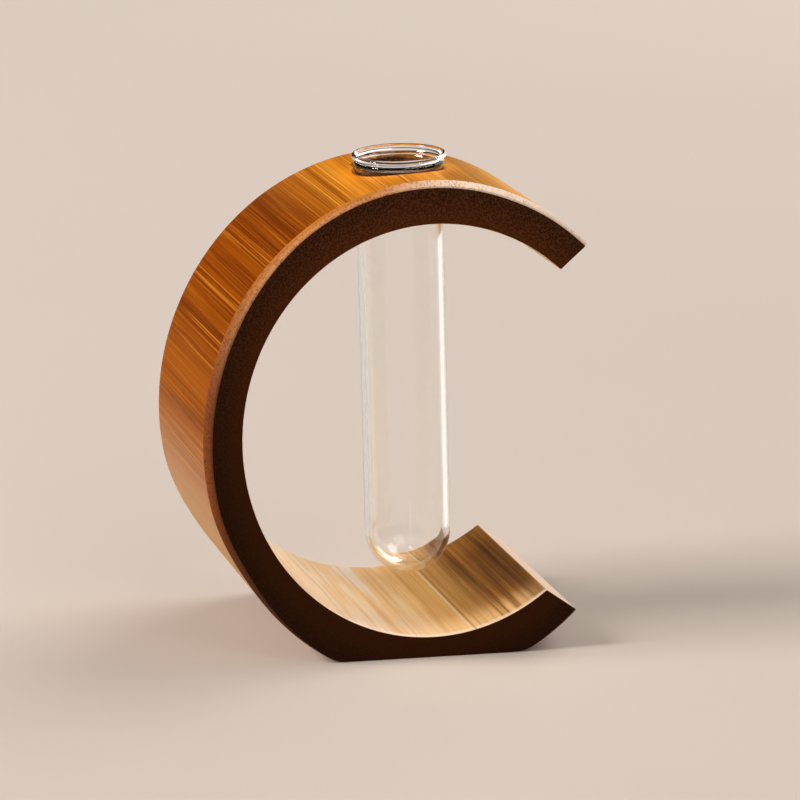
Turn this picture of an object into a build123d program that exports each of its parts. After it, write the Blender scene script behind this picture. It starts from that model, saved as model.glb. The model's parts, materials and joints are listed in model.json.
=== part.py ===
"""Test tube vase: a C-shaped slice of bamboo culm that carries a hanging glass tube.

Millimetres, +Z up. X runs across the open mouth of the C, Y runs along the bamboo's fibres, from the
front face to the back face. The origin is on the standing surface, under the middle of the culm.
"""
import os
from math import atan2, cos, degrees, hypot, radians, sin

from build123d import *

# Glass tube: a plain round-bottomed test tube with a flared, fire-polished lip
tube_diameter = 20.0
tube_length = 100.0
tube_wall = 1.2
lip_overhang = 0.9
lip_bead = 1.2
lip_flare_height = 3.2
lip_flare_turn_deg = 48.0

# Bamboo culm: an oval section whose wall is thinnest at its sides
culm_width = 106.6
wall_left = 8.65
wall_right = 7.95
wall_crown = 9.65
wall_foot = 11.3

# Slice: both sawn faces lean in towards the crown, and their outer edges are chamfered
foot_depth = 56.9
crown_depth = 41.2
chamfer_radial = 1.3
chamfer_along = 1.6

# Foot: the flat is sawn into the wall, and this much wood stays under the hollow
foot_thickness = 4.8

# Mouth of the C: each end is a flat saw cut through a point on the level line of the culm's axis
upper_cut_deg = 41.5
lower_cut_deg = 35.9
upper_cut_setback = 12.3
lower_cut_setback = 24.0

# Hole in the crown: drilled square to the skin, a little to the left of the top
hole_lean_deg = 3.1
hole_clearance = 0.2

# Fit of the tube: its flare stops just over the hole's edge, and its bottom hangs over the hollow's floor
seat_clearance = 0.35
floor_gap = 7.45

# All cuts run past the solid by this much
overrun = 6.0

# Lip: a round bead on a flare, and the depth below its top at which the flare is as wide as the hole
tube_radius = tube_diameter / 2
hole_radius = tube_radius + hole_clearance
bead_radius = lip_bead / 2
bead_centre = tube_radius + lip_overhang - bead_radius
flare_reach = bead_radius * cos(radians(lip_flare_turn_deg))
flare_drop = bead_radius * (1 + sin(radians(lip_flare_turn_deg)))
seat_share = hole_clearance / (bead_centre + flare_reach - tube_radius)
seat_drop = lip_flare_height - seat_share * (lip_flare_height - flare_drop)

# Culm: tall enough for the tube to hang clear of the floor, with its axis set by the wood under it
lip_stand = seat_clearance + seat_drop
culm_height = tube_length - lip_stand + floor_gap + wall_foot
half_width = culm_width / 2
half_height = culm_height / 2
axis_height = half_height - wall_foot + foot_thickness
crown_z = axis_height + half_height
face_lean_deg = degrees(atan2((foot_depth - crown_depth) / 2, crown_z))
cut_reach = culm_width + culm_height


def face_plane(side, inset):
    """Plane of a sawn face, side -1 in front and +1 behind, moved into the wood along Y by inset."""
    share_up = axis_height / crown_z
    half_depth = (foot_depth + (crown_depth - foot_depth) * share_up) / 2
    lean = radians(face_lean_deg)
    normal = (0, -cos(lean), -side * sin(lean))
    return Plane(origin=(0, side * (half_depth - inset), axis_height), x_dir=(1, 0, 0), z_dir=normal)


def culm_section(side, inset, shrink):
    """Oval section of the culm in a leaning plane, with its outline drawn in by shrink."""
    stretch = 1 / cos(radians(face_lean_deg))
    oval = Ellipse(half_width - shrink, (half_height - shrink) * stretch)
    return face_plane(side, inset) * oval


def culm_slice():
    """Solid slice of culm between its two leaning faces, with both outer edges chamfered."""
    sections = [
        culm_section(-1, 0, chamfer_radial),
        culm_section(-1, chamfer_along, 0),
        culm_section(1, chamfer_along, 0),
        culm_section(1, 0, chamfer_radial),
    ]
    return loft(sections, ruled=True)


def culm_hollow():
    """Oval prism of the culm's hollow, set off its axis by the uneven wall."""
    hollow = Ellipse((culm_width - wall_left - wall_right) / 2, (culm_height - wall_crown - wall_foot) / 2)
    centre = Pos((wall_left - wall_right) / 2, 0, axis_height + (wall_foot - wall_crown) / 2)
    return extrude(centre * (Plane.XZ * hollow), amount=foot_depth / 2 + overrun, both=True)


def mouth_cut():
    """Prism between the two saw cuts that open the culm to a C."""
    upper = (cut_reach * cos(radians(upper_cut_deg)), cut_reach * sin(radians(upper_cut_deg)))
    lower = (cut_reach * cos(radians(lower_cut_deg)), -cut_reach * sin(radians(lower_cut_deg)))
    outline = Polyline(
        (-upper_cut_setback, 0),
        (upper[0] - upper_cut_setback, upper[1]),
        (lower[0] - lower_cut_setback, lower[1]),
        (-lower_cut_setback, 0),
        close=True,
    )
    face = Pos(0, 0, axis_height) * (Plane.XZ * make_face(outline))
    return extrude(face, amount=foot_depth / 2 + overrun, both=True)


def foot_cut():
    """Block below the standing surface that gives the culm its flat foot."""
    block = Box(culm_width, foot_depth + overrun, half_height)
    return Pos(0, 0, -half_height / 2) * block


def hole_frame():
    """Place on the culm's axis whose Z runs up along the hole."""
    return Pos(0, 0, axis_height) * Rot(0, -hole_lean_deg, 0)


def skin_reach():
    """Distance from the culm's axis to its skin, measured along the hole."""
    lean = radians(hole_lean_deg)
    return 1 / hypot(sin(lean) / half_width, cos(lean) / half_height)


def crown_hole():
    """Drilled hole through the crown's wall."""
    drill = Cylinder(hole_radius, skin_reach() + overrun, align=(Align.CENTER, Align.CENTER, Align.MIN))
    return hole_frame() * drill


def bamboo_ring():
    """The C: a slice of culm, hollow, sawn open, flat at the foot and drilled at the crown."""
    return culm_slice() - culm_hollow() - mouth_cut() - foot_cut() - crown_hole()


def tube_profile():
    """Half section of the glass, from the round bottom up to the lip and down the inside again."""
    inner = tube_radius - tube_wall
    bowl = tube_radius - tube_length
    slant = sin(radians(45))
    under_bead = (bead_centre + flare_reach, 0, -flare_drop)
    inside_bead = (bead_centre - flare_reach, 0, -flare_drop)
    bottom_turn = (tube_radius * slant, 0, bowl - tube_radius * slant)
    inner_turn = (inner * slant, 0, bowl - inner * slant)
    edges = [
        ThreePointArc((0, 0, -tube_length), bottom_turn, (tube_radius, 0, bowl)),
        Line((tube_radius, 0, bowl), (tube_radius, 0, -lip_flare_height)),
        Line((tube_radius, 0, -lip_flare_height), under_bead),
        ThreePointArc(under_bead, (bead_centre, 0, 0), inside_bead),
        Line(inside_bead, (inner, 0, -lip_flare_height)),
        Line((inner, 0, -lip_flare_height), (inner, 0, bowl)),
        ThreePointArc((inner, 0, bowl), inner_turn, (0, 0, bowl - inner)),
        Line((0, 0, bowl - inner), (0, 0, -tube_length)),
    ]
    return make_face(edges)


def test_tube():
    """Glass tube hanging in the crown hole, its flare just clear of the hole's edge."""
    glass = revolve(tube_profile(), Axis.Z)
    return hole_frame() * Pos(0, 0, skin_reach() + lip_stand) * glass


nodes = {"bamboo_ring": bamboo_ring(), "test_tube": test_tube()}

os.makedirs("parts", exist_ok=True)
for name, solid in nodes.items():
    export_step(solid, f"parts/{name}.step")
    print(name, round(solid.volume, 1), solid.bounding_box())
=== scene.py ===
# %% [markdown]
# # A bamboo ring that holds a glass tube
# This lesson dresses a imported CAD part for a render. The part has two pieces: a C-shaped slice of
# bamboo culm and a glass test tube that hangs in a hole at its crown. The CAD solids stay the frame:
# each new surface here is worked out in the same place and at the same size, and rides on the same
# body.

# %% Load the frame
import json
from math import cos, radians, sin

import bmesh
import bpy
import numpy as np
from mathutils import Matrix, Vector


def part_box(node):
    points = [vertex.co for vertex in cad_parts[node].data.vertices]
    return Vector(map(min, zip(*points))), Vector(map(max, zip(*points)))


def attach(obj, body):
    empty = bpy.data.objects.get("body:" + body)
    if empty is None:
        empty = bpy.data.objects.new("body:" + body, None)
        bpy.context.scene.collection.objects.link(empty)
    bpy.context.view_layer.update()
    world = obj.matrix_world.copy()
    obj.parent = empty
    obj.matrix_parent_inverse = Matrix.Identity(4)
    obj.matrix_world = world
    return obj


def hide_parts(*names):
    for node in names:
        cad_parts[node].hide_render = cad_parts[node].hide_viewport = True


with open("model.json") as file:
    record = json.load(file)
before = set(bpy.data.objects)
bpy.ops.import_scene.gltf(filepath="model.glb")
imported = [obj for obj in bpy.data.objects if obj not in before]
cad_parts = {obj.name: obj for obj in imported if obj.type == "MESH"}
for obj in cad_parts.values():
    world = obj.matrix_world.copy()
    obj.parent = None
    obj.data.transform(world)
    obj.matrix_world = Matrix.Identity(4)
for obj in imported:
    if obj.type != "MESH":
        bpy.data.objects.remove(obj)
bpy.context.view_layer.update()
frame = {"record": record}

# %% [markdown]
# ## Read the sizes
# Blender works in metres, and small objects are easier to think of in millimetres. So the sums below
# are in millimetres, and the mesh maker divides by 1000 at the end. What the frame knows is read from
# it: the ring node's box, and the tube's bore with its place and lean. The other sizes are the culm's
# own.

# %% Sizes from the frame and of the culm
MM_PER_M = 1000.0
ring_low, ring_high = (np.array(corner) * MM_PER_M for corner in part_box("bamboo_ring"))
bore = next(m for m in frame["record"]["mounts"] if m["name"] == "tube_bore")
bore_centre = np.array(bore["pos_m"]) * MM_PER_M
bore_axis = np.array(bore["axis"]) / np.linalg.norm(bore["axis"])
bore_radius, bore_length = bore["dims"]["r_mm"], bore["dims"]["length_mm"]

half_width = -ring_low[0]
crown_z = ring_high[2]
foot_half_depth = ring_high[1]
crown_half_depth = 20.6
foot_sawn_off = 6.5
half_height = (crown_z + foot_sawn_off) / 2
axis_z = crown_z - half_height

wall_left, wall_right, wall_crown, wall_foot = 8.65, 7.95, 9.65, 11.3
skin_semi = np.array([half_width, half_height])
skin_centre = np.array([0.0, axis_z])
hollow_semi = skin_semi - np.array([wall_left + wall_right, wall_crown + wall_foot]) / 2
hollow_centre = skin_centre + np.array([wall_left - wall_right, wall_foot - wall_crown]) / 2
print("culm", 2 * skin_semi.round(2), "hollow", 2 * hollow_semi.round(2), "axis at", round(axis_z, 2))

# %% [markdown]
# ## The path of the C
# The wall follows two ovals, the skin and the hollow. A section of the wall runs from a point on one
# oval to a point on the other, so the C is a profile carried along both ovals at once. At the mouth the
# sections have to lie in the two saw cuts, so the angles on each oval are measured there first and
# spread evenly between. One could also model a whole ring and cut the mouth with a Boolean, but a
# carried profile gives even quads.

# %% Sections along the path
upper_cut_deg, upper_cut_setback = 41.5, 12.3
lower_cut_deg, lower_cut_setback = 35.9, 24.0


def oval_hit(origin, direction, centre, semi):
    """Where a ray leaves an oval: the larger root of the oval's equation, written along the ray."""
    start, step = (origin - centre) / semi, direction / semi
    a, b, c = (step * step).sum(-1), (start * step).sum(-1), (start * start).sum(-1) - 1
    reach = (-b + np.sqrt(b * b - a * c)) / a
    return origin + reach[..., None] * direction


def oval_angle(point, centre, semi):
    """Angle of a point on an oval, from 0 at +X up over the crown: its jump lies in the open mouth."""
    unit = (point - centre) / semi
    return np.arctan2(unit[..., 1], unit[..., 0]) % (2 * np.pi)


def oval_point(angle, centre, semi):
    """Point of an oval: its centre, plus its semi-axes times the cosine and sine of the angle."""
    return centre + semi * np.stack([np.cos(angle), np.sin(angle)], -1)


def cut_angles(setback, degrees_up):
    """Angles on the skin and on the hollow at which a saw cut through the level line meets them."""
    origin = skin_centre - np.array([setback, 0.0])
    along = np.array([cos(radians(degrees_up)), sin(radians(degrees_up))])
    skin_hit = oval_hit(origin, along, skin_centre, skin_semi)
    hollow_hit = oval_hit(origin, along, hollow_centre, hollow_semi)
    return oval_angle(skin_hit, skin_centre, skin_semi), oval_angle(hollow_hit, hollow_centre, hollow_semi)


first_skin, first_hollow = cut_angles(upper_cut_setback, upper_cut_deg)
last_skin, last_hollow = cut_angles(lower_cut_setback, -lower_cut_deg)
print("skin from", np.degrees([first_skin, last_skin]).round(2), "degrees")

# %% [markdown]
# ## Where the samples go
# Even steps would miss the places where the form changes: the edges of the foot's flat, and the square
# patch round the crown's hole. So the path is cut at those angles, and each stretch gets its own even
# steps. The two ends take extra steps close together, because the saw cuts' edges are slightly rounded.

# %% Angles of the sections
chamfer_radial, chamfer_along = 1.3, 1.6
edge_round = 0.35
drill_along = bore_axis[[0, 2]]
hole_top = oval_hit(skin_centre, drill_along, skin_centre, skin_semi)
hole_angle = oval_angle(hole_top, skin_centre, skin_semi)
patch_reach = radians(15.5)
down = 1.5 * np.pi
low_inset, low_chamfer_share = 1.1, 0.15
foot_half_height = half_height - low_inset
foot_turn = np.arccos(axis_z / foot_half_height)
foot_inner_turn = np.arccos(axis_z / (foot_half_height - low_chamfer_share * chamfer_radial))
end_turn = edge_round / half_width
step_turn = radians(0.62)
LEAST_STEPS = 6

stops = [
    first_skin, first_skin + end_turn, hole_angle - patch_reach, hole_angle + patch_reach,
    down - foot_turn, down - foot_inner_turn, down + foot_inner_turn, down + foot_turn,
    last_skin - end_turn, last_skin,
]
counts = [max(LEAST_STEPS, int(np.ceil((b - a) / step_turn))) for a, b in zip(stops, stops[1:])]
stretches = [np.linspace(a, b, n, endpoint=False) for a, b, n in zip(stops, stops[1:], counts)]
skin_angle = np.append(np.concatenate(stretches), last_skin)
patch_first, patch_last = sum(counts[:2]), sum(counts[:3])
foot_first, foot_last = sum(counts[:4]), sum(counts[:7])
hollow_angle = np.interp(skin_angle, [first_skin, last_skin], [first_hollow, last_hollow])
print(len(skin_angle), "sections, hole patch", patch_first, patch_last, "foot", foot_first, foot_last)

# %% [markdown]
# ## The wall's profile
# Each section is a closed loop: the skin, a chamfer, a sawn face, the hollow's wall, the other face and
# the other chamfer. A point of it is named by how deep it lies in the wall and how far it stays in from
# the sawn face, so the loop fits a thick foot and a thin side alike. Corners become short curves,
# because a worn edge that catches the light says more about wood than a sharp one.

# %% The closed profile loop
SKIN_STEPS, FACE_STEPS, CORNER_STEPS = 30, 12, 6


def bent_corner(before, corner, after):
    """Quadratic curve that rounds a corner: the three points weighted by (1-t)^2, 2t(1-t) and t^2."""
    t = np.linspace(0, 1, CORNER_STEPS + 1)[:, None]
    return (1 - t) ** 2 * before + 2 * t * (1 - t) * corner + t**2 * after


def half_profile():
    """From the skin's edge over chamfer and face to the hollow, with five numbers for each point.

    The first is a share of the wall's thickness. A depth that goes with the chamfer's width and a plain
    depth are added to it. The last two are insets from the sawn face, one of each kind again.
    """
    slope = np.array([chamfer_radial, -chamfer_along]) / np.hypot(chamfer_radial, chamfer_along)
    skin_edge, face_edge = np.array([0.0, chamfer_along]), np.array([chamfer_radial, 0.0])
    shoulder = bent_corner(skin_edge + [0, edge_round], skin_edge, skin_edge + edge_round * slope)
    brow = bent_corner(face_edge - edge_round * slope, face_edge, face_edge + [edge_round, 0])
    rim = bent_corner(np.array([-edge_round, 0.0]), np.zeros(2), np.array([0.0, edge_round]))
    top = np.concatenate([shoulder, brow])
    across = np.linspace(0, 1, FACE_STEPS + 1)[1:-1]
    share = np.concatenate([np.zeros(len(top)), across, np.ones(len(rim))])
    chamfer_depth = np.concatenate([top[:, 0], brow[-1, 0] * (1 - across), np.zeros(len(rim))])
    depth = np.concatenate([np.zeros(len(top)), -edge_round * across, rim[:, 0]])
    chamfer_inset = np.concatenate([top[:, 1], 0 * across, np.zeros(len(rim))])
    inset = np.concatenate([np.zeros(len(top)), 0 * across, rim[:, 1]])
    return np.stack([share, chamfer_depth, depth, chamfer_inset, inset])


back_half = half_profile()
half_count = back_half.shape[1]
between = np.linspace(-1, 1, SKIN_STEPS + 1)[1:-1]
skin_run = np.repeat(back_half[:, :1], len(between), 1)
hollow_run = np.repeat(back_half[:, -1:], len(between), 1)
loop = np.concatenate([skin_run, back_half, hollow_run, back_half[:, ::-1]], 1)
loop_side = np.concatenate([between, np.ones(half_count), -between, -np.ones(half_count)])
skin_columns = np.arange(-1, SKIN_STEPS)
hollow_columns = np.arange(len(between) + half_count - 1, len(between) + half_count + SKIN_STEPS)
print(loop.shape[1], "points in the loop")

# %% [markdown]
# ## Carry the profile along the path
# The sawn faces lean in towards the crown, so a point's place along the fibres follows from its height.
# A culm is never a true oval: this one is drawn in a little below its axis. The sander took more off in
# some places than in others, so the chamfer's width comes from a table by the angle from straight down.
# Towards the foot the skin bends into the sawn flat, and there the chamfer fades to a fine worn edge.

# %% The wall as one grid of points
foot_round = 1.0
low_turns = np.radians([52.0, 76.0])
sanded_turns = np.radians([30, 40, 50, 60, 70, 95, 115, 130, 145, 160, 175, 200, 210, 220, 230])
sanded_shares = [
    low_chamfer_share, 0.35, 0.60, 0.85, 0.95, 1.08, 1.08, 0.95, 0.80, 0.80, 0.88, 0.88, 0.70, 0.56, 0.50,
]
off_down = np.abs(skin_angle - down)
lowness = 1 - np.clip((off_down - low_turns[0]) / (low_turns[1] - low_turns[0]), 0, 1)
lowness = lowness * lowness * (3 - 2 * lowness)


def half_depth(z):
    """Half the slice's depth at a height: a straight line from the foot's half depth to the crown's."""
    return foot_half_depth + (crown_half_depth - foot_half_depth) * z / crown_z


def wall_ends():
    """Ends of every section: its skin point, pulled up to the foot's plane, and its hollow point.

    Near the foot the height follows a parabola that joins the flat to the oval, and the skin point slides
    along its section to that height.
    """
    skin = oval_point(skin_angle, skin_centre, skin_semi - low_inset * lowness[:, None])
    hollow = oval_point(hollow_angle, hollow_centre, hollow_semi)
    near_foot = np.clip(skin[:, 1], -foot_round, foot_round) + foot_round
    height = np.maximum(skin[:, 1], foot_round) - foot_round + near_foot**2 / (4 * foot_round)
    kept = (hollow[:, 1] - height) / (hollow[:, 1] - skin[:, 1])
    return hollow + (skin - hollow) * kept[:, None], hollow


def wall_grid():
    """Points of the wall: along a section by depth over thickness, along Y by half depth less inset.

    At the two saw cuts all sides draw in by a quarter circle, which rounds the edges there.
    """
    skin, hollow = wall_ends()
    thick = np.linalg.norm(skin - hollow, axis=1)[:, None]
    chamfer = np.interp(off_down, sanded_turns, sanded_shares)[:, None]
    near_end = np.minimum(skin_angle - first_skin, last_skin - skin_angle) / end_turn
    draw_in = edge_round * (1 - np.sqrt(1 - (1 - np.clip(near_end, 0, 1)) ** 2))[:, None]
    share, chamfer_depth, depth, chamfer_inset, inset = loop
    deep = share * thick + chamfer_depth * chamfer + depth + draw_in * (1 - 2 * share)
    inward = chamfer_inset * chamfer + inset + draw_in
    flat = skin[:, None] + (hollow - skin)[:, None] * (deep / thick)[..., None]
    y = loop_side * (half_depth(flat[..., 1]) - inward)
    return np.stack([flat[..., 0], y, flat[..., 1]], -1)


wall = wall_grid()
print("wall grid", wall.shape, "low", wall.min((0, 1)).round(2), "high", wall.max((0, 1)).round(2))

# %% [markdown]
# ## The hole in the crown
# A Boolean would leave long thin faces round the hole. Here the square patch that the hole goes through
# is left out of the grid and filled with rings instead: the outermost ring is the patch's own edge, the
# innermost is the drilled circle, and the rings between blend from one to the other. Each point is then
# lifted along the drill's axis on to its oval, so the rings follow the culm exactly.

# %% Rings round the hole and down its wall
tube_wall, hole_clearance, hole_rim = 1.2, 0.2, 0.3
hole_radius = bore_radius + tube_wall + hole_clearance
drill_across = np.array([bore_axis[2], -bore_axis[0]])
PATCH_RINGS, BORE_RINGS = 7, 10


def patch_edge(columns):
    """Numbers of the grid points round the patch, in one closed turn."""
    rows = np.arange(patch_first, patch_last + 1)
    turn = [
        (rows[:-1], columns[0]),
        (patch_last, columns[:-1]),
        (rows[:0:-1], columns[-1]),
        (patch_first, columns[:0:-1]),
    ]
    sides = [np.broadcast_arrays(r, c) for r, c in turn]
    r, c = (np.concatenate(part) for part in zip(*sides))
    return r * wall.shape[1] + c % wall.shape[1]


def lift(across, y, centre, semi):
    """Point over the drill's plane, raised along the drill's axis until it meets an oval."""
    flat = oval_hit(skin_centre + across[..., None] * drill_across, drill_along, centre, semi)
    return np.stack([flat[..., 0], y, flat[..., 1]], -1)


points = wall.reshape(-1, 3)
skin_edge, hollow_edge = patch_edge(skin_columns), patch_edge(hollow_columns[::-1])


def plan(edge):
    """Places of the patch's edge seen down the drill: across the hole, and along the fibres."""
    flat = points[edge][:, [0, 2]] - skin_centre
    return np.stack([flat @ drill_across, points[edge][:, 1]], -1)


towards = plan(skin_edge)
circle = (hole_radius + hole_rim) * towards / np.linalg.norm(towards, axis=1)[:, None]


def patch_rings(edge, centre, semi):
    """Rings from the patch's edge to the drilled circle: a blend of the two, lifted on to the oval."""
    t = np.linspace(0, 1, PATCH_RINGS + 1)[1:, None, None]
    ring = (1 - t) * plan(edge) + t * circle
    return lift(ring[..., 0], ring[..., 1], centre, semi)


skin_rings = patch_rings(skin_edge, skin_centre, skin_semi)
hollow_rings = patch_rings(hollow_edge, hollow_centre, hollow_semi)


def bore_rings():
    """Rings down the hole's wall: both rims rounded by a quarter turn, and straight steps between them."""
    turn = np.linspace(0, np.pi / 2, CORNER_STEPS + 1)[1:]
    narrow = hole_radius + hole_rim * (1 - np.sin(turn))
    drop = hole_rim * (1 - np.cos(turn))
    unit = circle / np.linalg.norm(circle, axis=1)[:, None]
    ring = hole_radius * unit
    top = lift(ring[:, 0], ring[:, 1], skin_centre, skin_semi)
    low = lift(ring[:, 0], ring[:, 1], hollow_centre, hollow_semi)
    out = np.stack([unit[:, 0] * drill_across[0], unit[:, 1], unit[:, 0] * drill_across[1]], -1)
    wide = (narrow - hole_radius)[:, None, None] * out
    upper = top + wide - drop[:, None, None] * bore_axis
    lower = low + wide + drop[:, None, None] * bore_axis
    t = np.linspace(0, 1, BORE_RINGS + 1)[1:-1, None, None]
    return np.concatenate([upper, (1 - t) * upper[-1] + t * lower[-1], lower[::-1]])


drilled = bore_rings()
print("patch", skin_rings.shape, hollow_rings.shape, "bore", drilled.shape)

# %% [markdown]
# ## One mesh from the parts
# All parts share their edge points by number, so nothing has to be welded. Every face gets a number for
# its finish: the polished skin, the sanded chamfer, the end grain of the sawn faces, the hollow's soft
# inner wall, and the saw cuts that run along the fibres. Each point also carries its place in the wood:
# round the culm, along the fibres, and below the skin. The grain is painted from that, so it runs
# through the wood as real fibres do.

# %% Faces and their finishes
SKIN, CHAMFER, END_GRAIN, HOLLOW, SAWN = range(5)
PALE_RIM_STEPS = 3
half_finish = np.repeat(
    [CHAMFER, END_GRAIN, HOLLOW],
    [2 * CORNER_STEPS + 1, FACE_STEPS + CORNER_STEPS - PALE_RIM_STEPS, PALE_RIM_STEPS],
)
column_finish = np.concatenate([
    np.full(SKIN_STEPS - 1, SKIN), half_finish, np.full(SKIN_STEPS, HOLLOW), half_finish[::-1], [SKIN],
])


def grid_faces(numbers):
    """Quads between neighbouring points of a table of point numbers."""
    corners = [numbers[:-1, :-1], numbers[1:, :-1], numbers[1:, 1:], numbers[:-1, 1:]]
    return np.stack(corners, -1).reshape(-1, 4)


def wood_faces():
    """Quads of the wall less the patches, of the patches' rings and of the hole, and their finishes."""
    rows, columns = wall.shape[:2]
    numbers = np.arange(rows * columns).reshape(rows, columns)
    closed = np.concatenate([numbers, numbers[:, :1]], 1)
    row, column = (i.ravel() for i in np.mgrid[0:rows - 1, 0:columns])
    on_skin = (column < SKIN_STEPS - 1) | (column == columns - 1)
    on_hollow = (column >= hollow_columns[0]) & (column < hollow_columns[-1])
    in_patch = (row >= patch_first) & (row < patch_last) & (on_skin | on_hollow)
    on_foot = on_skin & (row >= foot_first) & (row < foot_last)
    finish = np.where(on_foot, SAWN, column_finish[column])
    first = rows * columns + np.cumsum([0, skin_rings[..., 0].size, hollow_rings[..., 0].size])
    ring_numbers = [np.arange(r[..., 0].size).reshape(r.shape[:2]) + n
                    for r, n in zip((skin_rings, hollow_rings, drilled), first)]
    skin_sheet = np.vstack([skin_edge, ring_numbers[0]])
    hollow_sheet = np.vstack([hollow_edge, ring_numbers[1]])
    bore_sheet = np.vstack([skin_sheet[-1], ring_numbers[2], hollow_sheet[-1]])
    sheets = [grid_faces(np.hstack([s, s[:, :1]])) for s in (skin_sheet, hollow_sheet, bore_sheet)]
    quads = np.concatenate([grid_faces(closed)[~in_patch], *sheets])
    finishes = [finish[~in_patch], *(np.full(len(s), f) for s, f in zip(sheets, (SKIN, HOLLOW, END_GRAIN)))]
    finishes[-1][:CORNER_STEPS * len(skin_edge)] = SKIN
    caps = [numbers[0].tolist(), numbers[-1].tolist()]
    return quads.tolist() + caps, np.concatenate([*finishes, [SAWN, SAWN]])


wood_quads, wood_finish = wood_faces()
print(len(wood_quads), "faces")

# %% Place in the wood
ARC_STEPS = 2000
arc_turn = np.linspace(0, 2 * np.pi, ARC_STEPS)
arc_steps = np.diff(oval_point(arc_turn, skin_centre, skin_semi), axis=0)
arc_length = np.append(0, np.cumsum(np.linalg.norm(arc_steps, axis=1)))


def girth_at(angle):
    """Way round the skin in mm, from the +X side up over the crown: the summed steps up to an angle."""
    return np.interp(angle, arc_turn, arc_length)


def grain_place(at):
    """Place in the wood, in mm: the way round the culm, along the fibres, and the depth below the skin."""
    flat = at[:, [0, 2]]
    girth = girth_at(oval_angle(flat, skin_centre, skin_semi))
    depth = (1 - np.linalg.norm((flat - skin_centre) / skin_semi, axis=1)) * skin_semi.mean()
    return np.stack([girth, at[:, 1], depth], -1)


print("skin", arc_length[-1].round(1), "mm round")

# %% The mesh of the bamboo
def make_piece(name, at, faces, sharp_deg):
    """Mesh object at the origin from points in mm, faces outward, creased where it turns sharply."""
    mesh = bpy.data.meshes.new(name)
    mesh.from_pydata((at / MM_PER_M).tolist(), [], faces)
    shell = bmesh.new()
    shell.from_mesh(mesh)
    bmesh.ops.recalc_face_normals(shell, faces=shell.faces)
    shell.to_mesh(mesh)
    shell.free()
    mesh.polygons.foreach_set("use_smooth", np.ones(len(mesh.polygons), bool))
    mesh.set_sharp_from_angle(angle=radians(sharp_deg))
    piece = bpy.data.objects.new(name, mesh)
    bpy.context.scene.collection.objects.link(piece)
    return piece


wood_points = np.concatenate([points, *(r.reshape(-1, 3) for r in (skin_rings, hollow_rings, drilled))])
bamboo = make_piece("bamboo_c", wood_points, wood_quads, sharp_deg=22)
bamboo.data.polygons.foreach_set("material_index", wood_finish.astype(np.int32))
grain = bamboo.data.attributes.new("grain", "FLOAT_VECTOR", "POINT")
grain.data.foreach_set("vector", grain_place(wood_points).astype(np.float32).ravel())
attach(bamboo, "ring")
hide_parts("bamboo_ring")
print("bamboo", len(wood_points), "points", len(wood_quads), "faces")

# %% [markdown]
# ## The glass tube
# A test tube is a body of revolution, so one half section turned about the bore's axis makes it. The
# section is a closed wall: up the outside from the round bottom, over the flared lip, with a thin ring
# below its fire-polished bead, and down the inside. Glass needs both sides of its wall, because the
# render bends light at each of them.

# %% Half section of the glass
tube_radius = bore_radius + tube_wall
lip_flare_height, lip_bead_radius, lip_overhang = 3.2, 0.6, 0.9
lip_ring_radius, lip_ring_drop, lip_ring_sunk = 0.55, 2.15, 0.12
bead_from_deg, bead_to_deg = -78, 228
ring_from_deg, ring_to_deg = -68, 72
bowl_height = lip_flare_height + bore_length
bead_centre = tube_radius + lip_overhang - lip_bead_radius
OUTER_BOWL_STEPS, INNER_BOWL_STEPS, STRAIGHT_POINTS, TURNS = 28, 26, 24, 160
BEAD_STEPS, RING_STEPS, BELOW_RING_STEPS, BELOW_BEAD_STEPS, INNER_FLARE_STEPS = 28, 14, 6, 4, 10


def arc(centre, radius, start_deg, end_deg, steps):
    """Points of a round stretch: centre plus radius times cosine and sine of evenly stepped angles."""
    angle = np.radians(np.linspace(start_deg, end_deg, steps + 1))
    return np.array(centre) + radius * np.stack([np.cos(angle), np.sin(angle)], -1)


def flare(start, end, steps):
    """S-shaped stretch between two points: the radius follows 3t^2 - 2t^3 while the height runs evenly."""
    t = np.linspace(0, 1, steps + 1)[1:-1]
    ease = t * t * (3 - 2 * t)
    return np.stack([start[0] + (end[0] - start[0]) * ease, start[1] + (end[1] - start[1]) * t], -1)


def straight(radius, start, end):
    """Straight stretch of wall: one radius, and heights in even steps."""
    return np.stack([np.full(STRAIGHT_POINTS, radius), np.linspace(start, end, STRAIGHT_POINTS)], -1)


def glass_section():
    """Radius and height from the lip's top: up the outside, over ring and bead, and down the inside."""
    outer_bowl = arc((0, -bowl_height), tube_radius, -90, 0, OUTER_BOWL_STEPS)
    outer_wall = straight(tube_radius, -bowl_height, -lip_flare_height)[1:]
    ring_centre = (tube_radius - lip_ring_sunk, -lip_ring_drop)
    ring = arc(ring_centre, lip_ring_radius, ring_from_deg, ring_to_deg, RING_STEPS)
    bead = arc((bead_centre, -lip_bead_radius), lip_bead_radius, bead_from_deg, bead_to_deg, BEAD_STEPS)
    inner_wall = straight(bore_radius, -lip_flare_height, -bowl_height)
    inner_bowl = arc((0, -bowl_height), bore_radius, 0, -90, INNER_BOWL_STEPS)[1:]
    below_ring = flare(outer_wall[-1], ring[0], BELOW_RING_STEPS)
    below_bead = flare(ring[-1], bead[0], BELOW_BEAD_STEPS)
    inner_flare = flare(bead[-1], inner_wall[0], INNER_FLARE_STEPS)
    outside = [outer_bowl, outer_wall, below_ring, ring, below_bead, bead]
    return np.concatenate([*outside, inner_flare, inner_wall, inner_bowl])


section = glass_section()
print(len(section), "points in the half section, lip", (2 * section[:, 0].max()).round(2), "mm wide")

# %% Turn the section about the bore
lip_top = bore_centre + bore_axis * (bore_length / 2 + lip_flare_height)


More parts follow.
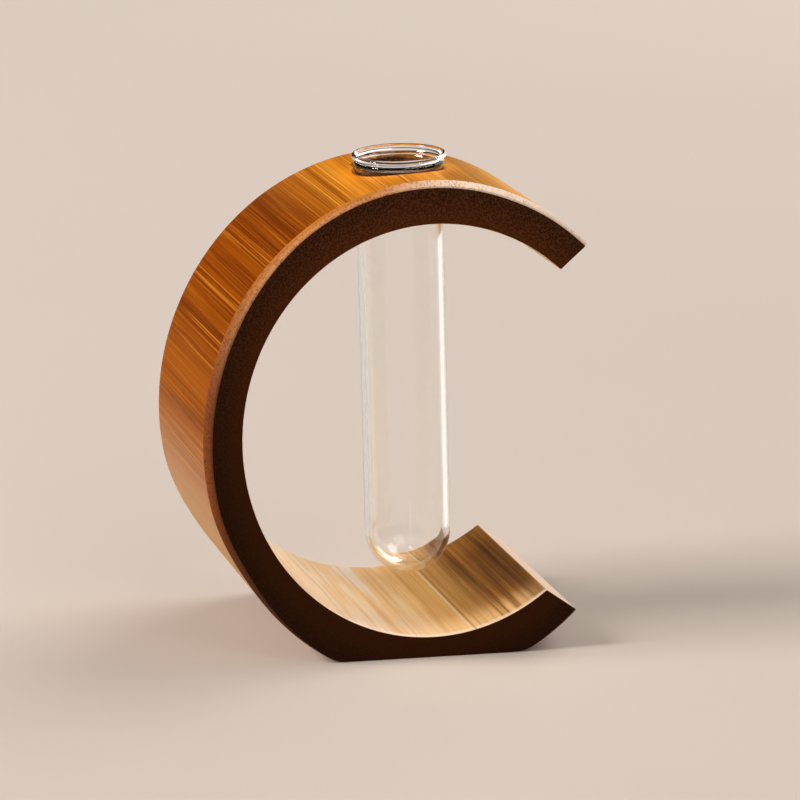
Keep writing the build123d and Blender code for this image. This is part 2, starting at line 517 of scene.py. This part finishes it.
def turned(profile):
    """Body of revolution: radius times cosine and sine of the turn, and the height along the axis."""
    turn = np.linspace(0, 2 * np.pi, TURNS, endpoint=False)
    side = np.array([bore_axis[2], 0, -bore_axis[0]])
    out = np.cos(turn)[:, None] * side + np.sin(turn)[:, None] * np.cross(bore_axis, side)
    return lip_top + profile[:, None, :1] * out + profile[:, None, 1:] * bore_axis


def turned_faces(rings):
    """Quads between the rings, and a fan from each of the two poles to the ring beside it."""
    numbers = np.arange(rings * TURNS).reshape(rings, TURNS)
    closed = np.hstack([numbers, numbers[:, :1]])
    poles = rings * TURNS, rings * TURNS + 1
    fans = [
        np.stack([closed[row, :-1], closed[row, 1:], np.full(TURNS, pole)], -1)
        for row, pole in zip((0, -1), poles)
    ]
    return grid_faces(closed).tolist() + np.concatenate(fans).tolist()


glass_rings = turned(section[1:-1])
glass_poles = lip_top + section[[0, -1], 1:] * bore_axis
glass_points = np.concatenate([glass_rings.reshape(-1, 3), glass_poles])
tube = make_piece("glass_tube", glass_points, turned_faces(len(section) - 2), sharp_deg=60)
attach(tube, "tube")
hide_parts("test_tube")
print("glass", len(glass_points), "points")

# %% [markdown]
# ## Shader sums as Python
# Node trees soon grow too large to read. A small class that wraps one socket lets the rest be written
# as plain sums: adding two wrapped sockets adds a Math node, and 1 - mask works as well. Every other
# kind of node comes from one method, which takes the node's settings first and then what goes into its
# sockets.

# %% The wire class
class Wire:
    """A socket of a node tree that takes part in sums as a number does."""

    def __init__(self, tree, socket=None):
        self.tree, self.socket = tree, socket

    def node(self, kind, settings, values, out=0):
        """Adds a node with its settings and its sockets' values or links, and wraps one of its outputs."""
        made = self.tree.nodes.new(kind)
        for name, value in settings.items():
            setattr(made, name, value)
        sockets = {s.identifier: s for s in made.inputs}
        for name, value in values.items():
            if isinstance(value, Wire):
                self.tree.links.new(value.socket, sockets[name])
            else:
                sockets[name].default_value = value
        return Wire(self.tree, made.outputs[out]) if made.outputs else None

    def math(self, operation, first, second=0.0):
        """A Math node of two values."""
        return self.node("ShaderNodeMath", {"operation": operation}, {"Value": first, "Value_001": second})

    def __add__(self, other):
        return self.math("ADD", self, other)

    def __sub__(self, other):
        return self.math("SUBTRACT", self, other)

    def __mul__(self, other):
        return self.math("MULTIPLY", self, other)

    def __truediv__(self, other):
        return self.math("DIVIDE", self, other)

    def __rsub__(self, other):
        return self.math("SUBTRACT", other, self)

    def __abs__(self):
        return self.math("ABSOLUTE", self)

    __radd__, __rmul__ = __add__, __mul__

    def step(self, low, high):
        """Soft step: 0 below low, 1 above high, and a smooth rise between. With low above high it falls."""
        settings = {"interpolation_type": "SMOOTHSTEP"}
        return self.node("ShaderNodeMapRange", settings, {"Value": self, "From Min": low, "From Max": high})

    def mix(self, factor, first, second):
        """Colour between two colours."""
        values = {"Factor_Float": factor, "A_Color": first, "B_Color": second}
        return self.node("ShaderNodeMix", {"data_type": "RGBA"}, values, out=2)

    def blend(self, factor, first, second):
        """Shader between two shaders."""
        values = {"Fac": factor, "Shader": first, "Shader_001": second}
        return self.node("ShaderNodeMixShader", {}, values)

    def part(self, axis):
        """X, Y or Z of a vector."""
        return self.node("ShaderNodeSeparateXYZ", {}, {"Vector": self}, out=axis)


def finish_of(name):
    """A new material with an empty node tree, and a wire to build in it."""
    material = bpy.data.materials.new(name)
    material.use_nodes = True
    material.node_tree.nodes.clear()
    return material, Wire(material.node_tree)


def show(wire, shader):
    """Puts a shader on the material's output."""
    wire.node("ShaderNodeOutputMaterial", {}, {"Surface": shader})


print("wire class ready")

# %% [markdown]
# ## Grain that runs through the wood
# Bamboo is a bundle of straight fibres in a softer ground. Noise that is drawn out along the fibres
# gives their streaks on the skin, in the hollow and on the saw cuts. Every finish of the wood reads the
# place that the mesh carries, in millimetres, so a pitch of 2 per mm means a streak of about half a
# millimetre.

# %% Fibre noise
WOOD_IOR = 1.5
fine_dent, coarse_dent = 0.0001, 0.0002


def wood_place(wire):
    """The place in the wood of each point: X round the culm, Y along the fibres, Z below the skin."""
    return wire.node("ShaderNodeAttribute", {"attribute_name": "grain"}, {}, out="Vector")


def object_place(wire):
    """The place of each point in its piece's own axes, in metres."""
    return wire.node("ShaderNodeTexCoord", {}, {}, out="Object")


def fibres(wire, place, per_mm, seed, detail=2.0):
    """Noise with its own pitch round the culm, along the fibres and into the wood, moved on by a seed."""
    moved = {"Vector": place, "Vector_001": per_mm, "Vector_002": (seed, 2 * seed, 3 * seed)}
    at = wire.node("ShaderNodeVectorMath", {"operation": "MULTIPLY_ADD"}, moved)
    noise = {"Vector": at, "Scale": 1.0, "Detail": detail, "Roughness": 0.6}
    return wire.node("ShaderNodeTexNoise", {}, noise)


def bump(wire, height, strength, distance):
    """Bump normal from a height."""
    return wire.node("ShaderNodeBump", {}, {"Height": height, "Strength": strength, "Distance": distance})


print("fibre noise ready")

# %% [markdown]
# ## The polished skin
# The culm's outside was steamed dark and varnished: an orange brown with broad tone bands, thin golden
# fibres and a few red-brown ones, all along Y. A photograph of bamboo would do this at once, but noise
# keeps the grain sharp at any distance. The varnish is a warm gloss that Fresnel mixes in, so it shows
# most where the skin is seen at a glancing angle. The colours are painted lighter over the crown and
# darker down the left, as painted light and shade. Low on the left a painted pale sheen stands for a
# reflection, and round the drilled hole painted shade darkens the wood nearly to black.

# %% Skin finish
# Shaded copies of the skin's colours for the left side and lit copies for the crown: painted light and
# shade.
deep_shaded, deep_lit = (0.165, 0.025, 0.001, 1), (0.47, 0.125, 0.004, 1)
warm_shaded, warm_lit = (0.320, 0.068, 0.002, 1), (0.76, 0.255, 0.014, 1)
gold_shaded, gold_lit = (0.66, 0.220, 0.018, 1), (0.96, 0.44, 0.060, 1)
dull_tan, russet_brown = (0.38, 0.155, 0.040, 1), (0.12, 0.017, 0.001, 1)
# The pale bloom colour is a painted sheen that stands for a reflection low on the left.
painted_sheen, hole_shade = (0.72, 0.50, 0.34, 1), (0.050, 0.014, 0.002, 1)
# Sizes in mm of the painted shade round the drilled hole, which reaches further at the back.
hole_shade_edge, hole_shade_core, hole_shade_further_back = 11.1, 10.5, 2.2
varnish_colour, varnish_share, varnish_ior = (0.88, 0.55, 0.20, 1), 0.5, 1.35


def girth_step(girth, low_deg, high_deg):
    """Soft step round the culm between two angles."""
    return girth.step(girth_at(radians(low_deg)), girth_at(radians(high_deg)))


def off_drill(wire):
    """Distance in mm from the drill's axis: the root of the squares across it and along the fibres."""
    at = object_place(wire)
    x, y, z = (MM_PER_M * at.part(axis) for axis in "XYZ")
    across = drill_across[0] * x + drill_across[1] * (z - axis_z)
    return wire.math("SQRT", across * across + y * y)


def skin_finish():
    """Orange brown grain under a warm gloss: painted lit crown, painted sheen low left, painted shade by
    the hole.
    """
    material, wire = finish_of("bamboo_skin")
    place = wood_place(wire)
    girth, along = place.part("X"), place.part("Y")
    fine = fibres(wire, place, (3.2, 0.020, 0.5), 1.3)
    streak = fibres(wire, place, (1.2, 0.010, 0.3), 4.7)
    band = fibres(wire, place, (0.20, 0.004, 0.05), 8.1)
    tone = 0.40 * fine + 0.30 * streak + 0.50 * band
    # Painted light: the colours turn from the shaded copies on the left to the lit ones over the crown.
    lit_crown, right = girth_step(girth, 128, 102), girth_step(girth, 98, 74)
    deep, warm = wire.mix(lit_crown, deep_shaded, deep_lit), wire.mix(lit_crown, warm_shaded, warm_lit)
    colour = wire.mix(tone.step(0.49, 0.71), deep, warm)
    colour = wire.mix(0.70 * right, colour, dull_tan)
    groups = fibres(wire, place, (0.11, 0.004, 0.05), 40.3).step(0.40, 0.56)
    golden = fibres(wire, place, (1.9, 0.006, 0.3), 15.2).step(0.575, 0.625)
    thin = fibres(wire, place, (2.9, 0.010, 0.3), 31.7).step(0.57, 0.63)
    lines = 0.60 * golden * groups + 0.28 * thin
    colour = wire.mix(lines, colour, wire.mix(lit_crown, gold_shaded, gold_lit))
    russet = fibres(wire, place, (2.3, 0.012, 0.3), 22.9).step(0.60, 0.65)
    colour = wire.mix(0.45 * russet, colour, russet_brown)
    # A painted pale sheen low on the left.
    sheen_mask = girth_step(girth, 172, 210) * girth_step(girth, 268, 240)
    colour = wire.mix(0.65 * sheen_mask, colour, painted_sheen)
    # Painted shade round the hole, the tube's contact shadow, reaching further at the back.
    off_hole = off_drill(wire) - hole_shade_further_back * along.step(5, 10)
    colour = wire.mix(0.85 * off_hole.step(hole_shade_edge, hole_shade_core), colour, hole_shade)
    rough, dents = 0.24 + 0.12 * fine, bump(wire, tone, 0.05, fine_dent)
    varied = {"Base Color": colour, "Roughness": rough, "Normal": dents}
    wood = wire.node("ShaderNodeBsdfPrincipled", {}, {"Specular IOR Level": 0.0, **varied})
    gloss = {"Color": varnish_colour, "Roughness": rough, "Normal": dents}
    gloss = wire.node("ShaderNodeBsdfAnisotropic", {}, gloss)
    share = varnish_share * wire.node("ShaderNodeFresnel", {}, {"IOR": varnish_ior, "Normal": dents})
    show(wire, wire.blend(share, wood, gloss))
    return material


bamboo.data.materials.append(skin_finish())
print("skin finish made")

# %% [markdown]
# ## The sanded chamfer
# The sander has cut through the skin into dense wood and left it smooth. Its colour carries painted
# light and shade: a pale peach at the crown as painted light, brown down the left side and nearly black
# underneath as painted shade. The fibre bundles, cut at a slant, show as darker dots. Cells of a Voronoi
# texture give those, because they are scattered and yet never crowd each other.

# %% Chamfer finish
# The peach at the crown is painted light; the brown colours for the left and the near black underneath are
# painted shade.
honey_outer, honey_inner = (0.58, 0.185, 0.014, 1), (0.70, 0.310, 0.115, 1)
shaded_left_outer, shaded_left_inner = (0.24, 0.052, 0.003, 1), (0.17, 0.040, 0.003, 1)
peach, underside_shade = (0.97, 0.74, 0.56, 1), (0.060, 0.017, 0.003, 1)
dot_honey, dot_peach, dot_shaded = (0.34, 0.110, 0.014, 1), (0.62, 0.33, 0.15, 1), (0.10, 0.022, 0.002, 1)


def bundles(wire, place, pitch, seed, edge=0.50, core=0.20):
    """Dots of the fibre bundles: 1 in the core of each cell of a scattered net, 0 past the cell's edge."""
    moved = {"Vector": place, "Vector_001": (pitch, 0.02, pitch), "Vector_002": (seed, seed, seed)}
    at = wire.node("ShaderNodeVectorMath", {"operation": "MULTIPLY_ADD"}, moved)
    return wire.node("ShaderNodeTexVoronoi", {}, {"Vector": at, "Scale": 1.0}).step(edge, core)


def chamfer_finish():
    """Dots on smooth wood painted from lit peach at the right through honey to shaded brown and black."""
    material, wire = finish_of("bamboo_chamfer")
    place = wood_place(wire)
    girth, inner = place.part("X"), place.part("Z").step(0.1, 1.2)
    dots = bundles(wire, place, 1.7, 3.0)
    cloud = fibres(wire, place, (0.9, 0.02, 0.8), 17.0)
    # Masks round the culm: painted light at the crown, painted shade down the left and underneath.
    lit_top, shaded_left = girth_step(girth, 108, 80), girth_step(girth, 120, 175)
    shaded_under, plain = girth_step(girth, 190, 222), girth_step(girth, 88, 72)
    ground = wire.mix(lit_top, wire.mix(inner, honey_outer, honey_inner), peach)
    ground = wire.mix(shaded_left, ground, wire.mix(inner, shaded_left_outer, shaded_left_inner))
    ground = wire.mix(0.85 * shaded_under, ground, underside_shade)
    dark = wire.mix(shaded_left, wire.mix(lit_top, dot_honey, dot_peach), dot_shaded)
    colour = wire.mix((0.70 - 0.5 * plain) * dots + 0.3 * cloud.step(0.45, 0.70), ground, dark)
    rough = 0.70 - 0.36 * girth_step(girth, 122, 100) - 0.08 * dots
    constants = {"IOR": WOOD_IOR, "Specular IOR Level": 0.25}
    varied = {"Base Color": colour, "Roughness": rough, "Normal": bump(wire, dots, 0.2, fine_dent)}
    show(wire, wire.node("ShaderNodeBsdfPrincipled", {}, {**constants, **varied}))
    return material


bamboo.data.materials.append(chamfer_finish())
print("chamfer finish made")

# %% [markdown]
# ## End grain on the sawn faces
# Across the fibres the wood drinks the stain and turns nearly black. The fibre bundles are darker dots
# there, and the softer ground between them is a thin paler net. The same cells as on the chamfer serve
# here, with larger dots. The wood is a little redder towards the hollow, and towards the foot it is
# darker as painted shade.

# %% End grain finish
face_outer, face_inner = (0.034, 0.010, 0.003, 1), (0.082, 0.019, 0.003, 1)
# Painted shade: the ground and the net are darker towards the foot.
shaded_low_outer, shaded_low_inner = (0.022, 0.007, 0.002, 1), (0.045, 0.011, 0.002, 1)
net_high, net_shaded_low = (0.180, 0.060, 0.018, 1), (0.075, 0.022, 0.005, 1)


def end_grain_finish():
    """Dark dots in a thin paler net, on a ground that reddens inwards and has painted shade downwards."""
    material, wire = finish_of("bamboo_end_grain")
    place = wood_place(wire)
    inner, low = place.part("Z").step(1.5, 9.0), girth_step(place.part("X"), 100, 205)
    dots = bundles(wire, place, 2.1, 3.0, edge=0.62, core=0.40)
    ground = wire.mix(inner, face_outer, face_inner)
    # Painted shade towards the foot.
    ground = wire.mix(low, ground, wire.mix(inner, shaded_low_outer, shaded_low_inner))
    net = wire.mix(low, net_high, net_shaded_low)
    colour = wire.mix((0.42 - 0.2 * low) * (1 - dots), ground, net)
    rough, pits = 0.62 - 0.15 * dots, bump(wire, dots, 0.25, fine_dent)
    constants = {"IOR": WOOD_IOR, "Specular IOR Level": 0.05}
    varied = {"Base Color": colour, "Roughness": rough, "Normal": pits}
    show(wire, wire.node("ShaderNodeBsdfPrincipled", {}, {**constants, **varied}))
    return material


bamboo.data.materials.append(end_grain_finish())
print("end grain made")

# %% [markdown]
# ## The hollow's inner wall
# Inside, the culm keeps its soft pale lining. It was scraped and oiled, so it shows broad honey streaks
# and a thin ridge that the scraper left. Painted light and shade lie over them: cream patches on the
# left, partly the lining's own and partly a painted sheen, brighter towards the back as painted light;
# gold along the front as painted light; brown deepening to near black towards the mouth as painted
# shade; and a painted highlight along the front edge. The ridge is only a hair wide, so a painted
# highlight line with a painted shadow line beside it stands for it.

# %% Inner wall finish
ridge_deg = 283.2
honey_deep, honey_light = (0.74, 0.35, 0.075, 1), (1.00, 0.61, 0.20, 1)
# The brown colours are painted shade on the side towards the mouth, and the mouth shade is painted shade
# too.
shade_dark_brown, shade_mid_brown = (0.13, 0.040, 0.004, 1), (0.60, 0.26, 0.045, 1)
# The cream colour is partly the lining's own and partly a painted sheen.
mouth_shade, sheen_cream = (0.070, 0.020, 0.002, 1), (1.0, 0.86, 0.71, 1)
# The front gold is painted light; the edge colour beside it is a painted highlight.
lit_front_gold, edge_highlight = (1.0, 0.64, 0.28, 1), (1.0, 0.80, 0.60, 1)
ridge_light, ridge_shadow = (1.0, 0.74, 0.44, 1), (0.16, 0.065, 0.015, 1)


def hollow_finish():
    """Honey streaks with a painted sheen at the back, painted shade at the mouth, an edge highlight and the
    ridge.
    """
    material, wire = finish_of("bamboo_hollow")
    place = wood_place(wire)
    girth, along = place.part("X"), place.part("Y")
    fine = fibres(wire, place, (2.6, 0.03, 0.4), 2.2, detail=3.0)
    streak = fibres(wire, place, (0.60, 0.012, 0.1), 7.3)
    band = fibres(wire, place, (0.14, 0.010, 0.03), 12.8)
    tone = 0.35 * fine + 0.5 * streak + 0.5 * band
    # Painted shade towards the mouth.
    mouth_side_shade, shade = girth_step(girth, 280, 297), girth_step(girth, 296, 310)
    deep, light = wire.mix(mouth_side_shade, honey_deep, shade_dark_brown), wire.mix(mouth_side_shade, honey_light, shade_mid_brown)
    colour = wire.mix(tone.step(0.46, 0.82), deep, light)
    colour = wire.mix(0.45 * shade, colour, mouth_shade)
    patches = fibres(wire, place, (0.30, 0.022, 0.1), 31.0).step(0.44, 0.62)
    # Painted light: the cream grows stronger towards the back.
    back = 0.55 + 0.45 * along.step(-2, 15)
    sheen_cream_mask = girth_step(girth, 283, 262) * (0.75 * patches + 0.25) * back
    colour = wire.mix(0.9 * sheen_cream_mask, colour, sheen_cream)
    # Painted light: gold along the front of the hollow.
    lit_front = along.step(-14, -24) * girth_step(girth, 262, 276) * (1 - 0.7 * shade)
    colour = wire.mix(0.8 * lit_front * streak.step(0.25, 0.60), colour, lit_front_gold)
    # A painted highlight along the front edge.
    colour = wire.mix(0.75 * along.step(-25.6, -27.2), colour, edge_highlight)
    off_ridge = girth - girth_at(radians(ridge_deg))
    colour = wire.mix(0.8 * abs(off_ridge).step(0.55, 0.20), colour, ridge_light)
    colour = wire.mix(0.45 * abs(off_ridge - 0.9).step(0.45, 0.15), colour, ridge_shadow)
    rough, scrapes = 0.30 + 0.12 * fine, bump(wire, tone, 0.15, coarse_dent)
    constants = {"IOR": WOOD_IOR, "Specular IOR Level": 0.22}
    varied = {"Base Color": colour, "Roughness": rough, "Normal": scrapes}
    show(wire, wire.node("ShaderNodeBsdfPrincipled", {}, {**constants, **varied}))
    return material


bamboo.data.materials.append(hollow_finish())
print("inner wall made")

# %% [markdown]
# ## Saw cuts along the fibres
# At the mouth and under the foot the saw ran with the fibres, so the cut shows bare pale wood with
# lines along it, browner towards the skin. The noise is the one used on the skin, with a closer pitch
# into the wood.

# %% Saw cut finish
sawn_line, sawn_ground = (0.80, 0.54, 0.34, 1), (0.96, 0.74, 0.54, 1)
sawn_brown = (0.50, 0.22, 0.075, 1)


def sawn_finish():
    """Lines on pale wood, half mixed with brown under the skin."""
    material, wire = finish_of("bamboo_sawn")
    place = wood_place(wire)
    lines = fibres(wire, place, (1.4, 0.03, 2.6), 5.1, detail=3.0)
    under_skin = place.part("Z").step(2.6, 0.2)
    colour = wire.mix(lines.step(0.35, 0.65), sawn_line, sawn_ground)
    colour = wire.mix(0.5 * under_skin, colour, sawn_brown)
    rough, grooves = 0.5 + 0.15 * lines, bump(wire, lines, 0.2, coarse_dent)
    varied = {"Base Color": colour, "Roughness": rough, "Normal": grooves}
    show(wire, wire.node("ShaderNodeBsdfPrincipled", {}, {"IOR": WOOD_IOR, **varied}))
    return material


bamboo.data.materials.append(sawn_finish())
print("saw cuts made")

# %% [markdown]
# ## Clear glass
# Drawn glass is clear, but never quite even: faint waves run along it. A weak bump gives those. Lamps
# shine through it unbent, because a shadow as dark as a solid's would be wrong, and bent light is slow
# to render.

# %% Glass finish
waves_per_m = (180.0, 180.0, 9.0)
glass_ior, glass_tint, shadow_tint = 1.47, (0.996, 1.0, 0.998, 1), (0.95, 0.96, 0.955, 1)


def glass_finish():
    """Glass with faint long waves, plainly transparent to the rays that look for a lamp."""
    material, wire = finish_of("clear_glass")
    waves = wire.node("ShaderNodeMapping", {}, {"Vector": object_place(wire), "Scale": waves_per_m})
    waves = wire.node("ShaderNodeTexNoise", {}, {"Vector": waves, "Scale": 1.0, "Detail": 1.0})
    constants = {"IOR": glass_ior, "Transmission Weight": 1.0, "Base Color": glass_tint}
    varied = {"Roughness": 0.012 * waves.step(0.55, 0.8), "Normal": bump(wire, waves, 0.06, coarse_dent)}
    glass = wire.node("ShaderNodeBsdfPrincipled", {}, {**constants, **varied})
    through = wire.node("ShaderNodeBsdfTransparent", {}, {"Color": shadow_tint})
    lamp_ray = wire.node("ShaderNodeLightPath", {}, {}, out="Is Shadow Ray")
    show(wire, wire.blend(lamp_ray, glass, through))
    return material


tube.data.materials.append(glass_finish())
print("glass made")

# %% [markdown]
# ## Floor and lamps
# The set is plain: a pale floor, painted paler far off as painted light against the lamps' fall-off, a
# soft box up on the left, a weak one in front, and a large one at the right behind. The floor is part
# of the stage, not of the object.

# %% Floor
floor_half = 4.0
floor_mesh = bpy.data.meshes.new("floor")
floor_corners = np.array([[-1, -1, 0], [1, -1, 0], [1, 1, 0], [-1, 1, 0]]) * floor_half
floor_mesh.from_pydata(floor_corners.tolist(), [], [[0, 1, 2, 3]])
floor = bpy.data.objects.new("floor", floor_mesh)
bpy.context.scene.collection.objects.link(floor)
floor_dark, floor_light = (0.63, 0.545, 0.478, 1), (0.655, 0.568, 0.503, 1)
# Painted light: the floor pales towards the back to make up for the lamps' fall-off.
floor_far, far_from, far_to = (0.92, 0.81, 0.72, 1), 0.0, 1.4


def floor_finish():
    """Faintly mottled matt floor, painted paler with the distance behind the object as painted light."""
    material, wire = finish_of("pale_floor")
    at = object_place(wire)
    mottle = wire.node("ShaderNodeTexNoise", {}, {"Vector": at, "Scale": 6.0, "Detail": 3.0})
    colour = wire.mix(mottle, floor_dark, floor_light)
    colour = wire.mix(at.part("Y").step(far_from, far_to), colour, floor_far)
    constants = {"Roughness": 0.85, "Specular IOR Level": 0.2}
    show(wire, wire.node("ShaderNodeBsdfPrincipled", {}, {"Base Color": colour, **constants}))
    return material


floor_mesh.materials.append(floor_finish())
print("floor", 2 * floor_half, "m wide")

# %% Lamps
lamp_white = (1.0, 0.97, 0.94)


def soft_box(name, place, size, watts):
    """Square area lamp that faces the middle of the ring, with its place and size in metres."""
    lamp = bpy.data.lights.new(name, "AREA")
    lamp.shape, lamp.size, lamp.size_y = "RECTANGLE", size, size
    lamp.energy, lamp.color = watts, lamp_white
    box = bpy.data.objects.new(name, lamp)
    away = np.array(place) - np.array([0, 0, axis_z / MM_PER_M])
    box.location = place
    box.rotation_mode = "QUATERNION"
    box.rotation_quaternion = Vector(away).to_track_quat("Z", "Y")
    bpy.context.scene.collection.objects.link(box)


soft_box("left_box", place=(-1.30, -0.05, 0.95), size=0.55, watts=23.0)
soft_box("front_box", place=(0.5, -1.4, 1.7), size=1.2, watts=6.0)
soft_box("right_box", place=(1.46, 0.88, 1.55), size=2.0, watts=31.0)

# %% [markdown]
# ## Cards and surround for the glass
# Clear glass shows little but what stands round it. Four glowing cards, which only reflected and bent
# rays meet, give it bright edges and the wood its gloss without lighting the wood itself. The surround
# is a dim dome with a dark horizon. It is paler for rays that the glass has bent, because those would
# end in a bright room.

# %% White cards
warm_white = np.array([1.0, 0.91, 0.83])
right_card = [(67, 68, 0), (105, 15, 0), (105, 15, 118), (67, 68, 118)]
left_card = [(-8, 64, 0), (-37, 54, 0), (-37, 54, 118), (-8, 64, 118)]
strip_card = [(640, -260, 620), (640, 300, 620), (60, 300, 900), (60, -260, 900)]
window_card = [(517, 468, 60), (304, 629, 60), (304, 629, 850), (517, 468, 850)]


def white_card(name, corners, mirrored, bent):
    """Glowing sheet between four corners in mm, with one strength for mirrored and one for bent rays."""
    mesh = bpy.data.meshes.new(name)
    mesh.from_pydata((np.array(corners) / MM_PER_M).tolist(), [], [[0, 1, 2, 3]])
    material, wire = finish_of(name)
    bent_ray = wire.node("ShaderNodeLightPath", {}, {}, out="Is Transmission Ray")
    glows = ((*(strength * warm_white), 1) for strength in (mirrored, bent))
    show(wire, wire.node("ShaderNodeEmission", {}, {"Color": wire.mix(bent_ray, *glows)}))
    mesh.materials.append(material)
    card = bpy.data.objects.new(name, mesh)
    card.visible_camera = card.visible_diffuse = card.visible_shadow = False
    bpy.context.scene.collection.objects.link(card)


white_card("right_card", right_card, mirrored=1.1, bent=1.1)
white_card("left_card", left_card, mirrored=0.7, bent=0.7)
white_card("strip_card", strip_card, mirrored=5.5, bent=5.5)
white_card("window_card", window_card, mirrored=2.5, bent=12.0)

# %% Surround
overhead_dim, overhead_bent = (0.18, 0.176, 0.171, 1), (0.90, 0.86, 0.82, 1)
horizon_dark, horizon_bent = (0.05, 0.05, 0.052, 1), (0.90, 0.80, 0.72, 1)
world = bpy.data.worlds.new("surround")
bpy.context.scene.world = world
world.use_nodes = True
world.node_tree.nodes.clear()
sky = Wire(world.node_tree)
towards_sky = sky.node("ShaderNodeTexCoord", {}, {}, out="Generated")
height, behind = towards_sky.part("Z"), towards_sky.part("Y").step(0.0, 0.5)
through_glass = sky.node("ShaderNodeLightPath", {}, {}, out="Is Transmission Ray")
overhead = sky.mix(through_glass, overhead_dim, overhead_bent)
low_behind = behind * height.step(0.30, 0.12)
horizon = sky.mix(through_glass * low_behind, horizon_dark, horizon_bent)
dome = sky.mix(height.step(0.34, 0.74), horizon, overhead)
dome = sky.node("ShaderNodeBackground", {}, {"Color": dome, "Strength": 1.0})
sky.node("ShaderNodeOutputWorld", {}, {"Surface": dome})
print("surround", world.name, "of", len(world.node_tree.nodes), "nodes")

# %% [markdown]
# ## The camera
# The view was worked out from the ring's outline in the photograph: how far round, how high and how
# tilted the camera stood, and where the culm's axis falls in a square picture of 800 pixels.

# %% Camera
picture_px, focal_px = 800, 4000
axis_px = (404.6, 409.0)
view_azimuth_deg, view_elevation_deg, view_roll_deg = -16.27, 14.33, 1.70
view_distance = 929.2


def view_matrix():
    """Camera's axes and place: back by azimuth and elevation, rolled, moved aside by the axis's pixel."""
    a, e, r = radians(view_azimuth_deg), radians(view_elevation_deg), radians(view_roll_deg)
    back = np.array([sin(a) * cos(e), -cos(a) * cos(e), sin(e)])
    level = np.array([cos(a), sin(a), 0.0])
    upright = np.cross(back, level)
    right, up = cos(r) * level + sin(r) * upright, cos(r) * upright - sin(r) * level
    aside = (axis_px[0] - picture_px / 2) / focal_px * view_distance
    above = (picture_px / 2 - axis_px[1]) / focal_px * view_distance
    place = np.array([0, 0, axis_z]) + view_distance * back - aside * right - above * up
    turned_to = np.eye(4)
    turned_to[:3] = np.stack([right, up, back, place / MM_PER_M], -1)
    return Matrix(turned_to.tolist())


camera = bpy.data.objects.new("camera", bpy.data.cameras.new("camera"))
bpy.context.scene.collection.objects.link(camera)
camera.matrix_world = view_matrix()
camera.data.sensor_width = 36.0
camera.data.lens = camera.data.sensor_width * focal_px / picture_px
bpy.context.scene.camera = camera
bpy.context.scene.view_settings.view_transform = "Standard"
print("camera at", [round(x, 3) for x in camera.location], "lens", camera.data.lens)
